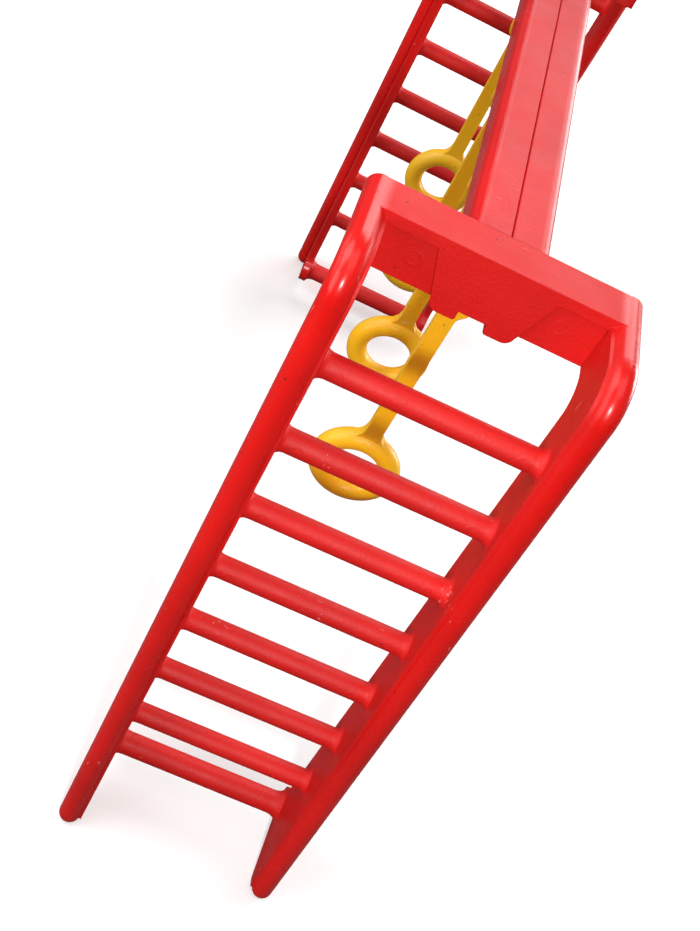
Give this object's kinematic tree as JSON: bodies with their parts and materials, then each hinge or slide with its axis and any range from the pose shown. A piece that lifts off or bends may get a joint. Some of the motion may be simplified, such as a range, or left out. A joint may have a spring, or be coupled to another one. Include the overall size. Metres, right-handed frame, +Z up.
{
  "type": "toy playground playset",
  "caption": "Toy playground frame: leaning ladder ends joined by an overhead beam, with gym rings on flat strips that swing along the beam.",
  "frame": {"origin": "on the ground, midway between the two ladder ends", "axes": "+X along the beam towards the far end, +Y along the rungs to the left, +Z up"},
  "size_m": [0.2586, 0.0594, 0.1801],
  "materials": {
    "frame_red": "glossy moulded red",
    "beam_red": "glossy moulded red",
    "ring_yellow": "glossy moulded yellow"
  },
  "bodies": {
    "stand": {"near_end_frame": "frame_red", "far_end_frame": "frame_red", "beam_left_shell": "beam_red", "beam_right_shell": "beam_red"},
    "hanger_1": {"ring_hanger_1": "ring_yellow"},
    "hanger_2": {"ring_hanger_2": "ring_yellow"},
    "hanger_3": {"ring_hanger_3": "ring_yellow"},
    "hanger_4": {"ring_hanger_4": "ring_yellow"}
  },
  "joints": [
    {"name": "hanger_1_swing", "type": "hinge", "parent": "stand", "child": "hanger_1", "pos_m": [-0.06305, 0, 0.17207], "axis": [0, 1, 0], "range_deg": [-12, 12]},
    {"name": "hanger_2_swing", "type": "hinge", "parent": "stand", "child": "hanger_2", "pos_m": [-0.01935, 0, 0.17207], "axis": [0, 1, 0], "range_deg": [-12, 12]},
    {"name": "hanger_3_swing", "type": "hinge", "parent": "stand", "child": "hanger_3", "pos_m": [0.02435, 0, 0.17207], "axis": [0, 1, 0], "range_deg": [-12, 12]},
    {"name": "hanger_4_swing", "type": "hinge", "parent": "stand", "child": "hanger_4", "pos_m": [0.06805, 0, 0.17207], "axis": [0, 1, 0], "range_deg": [-12, 12]}
  ]
}
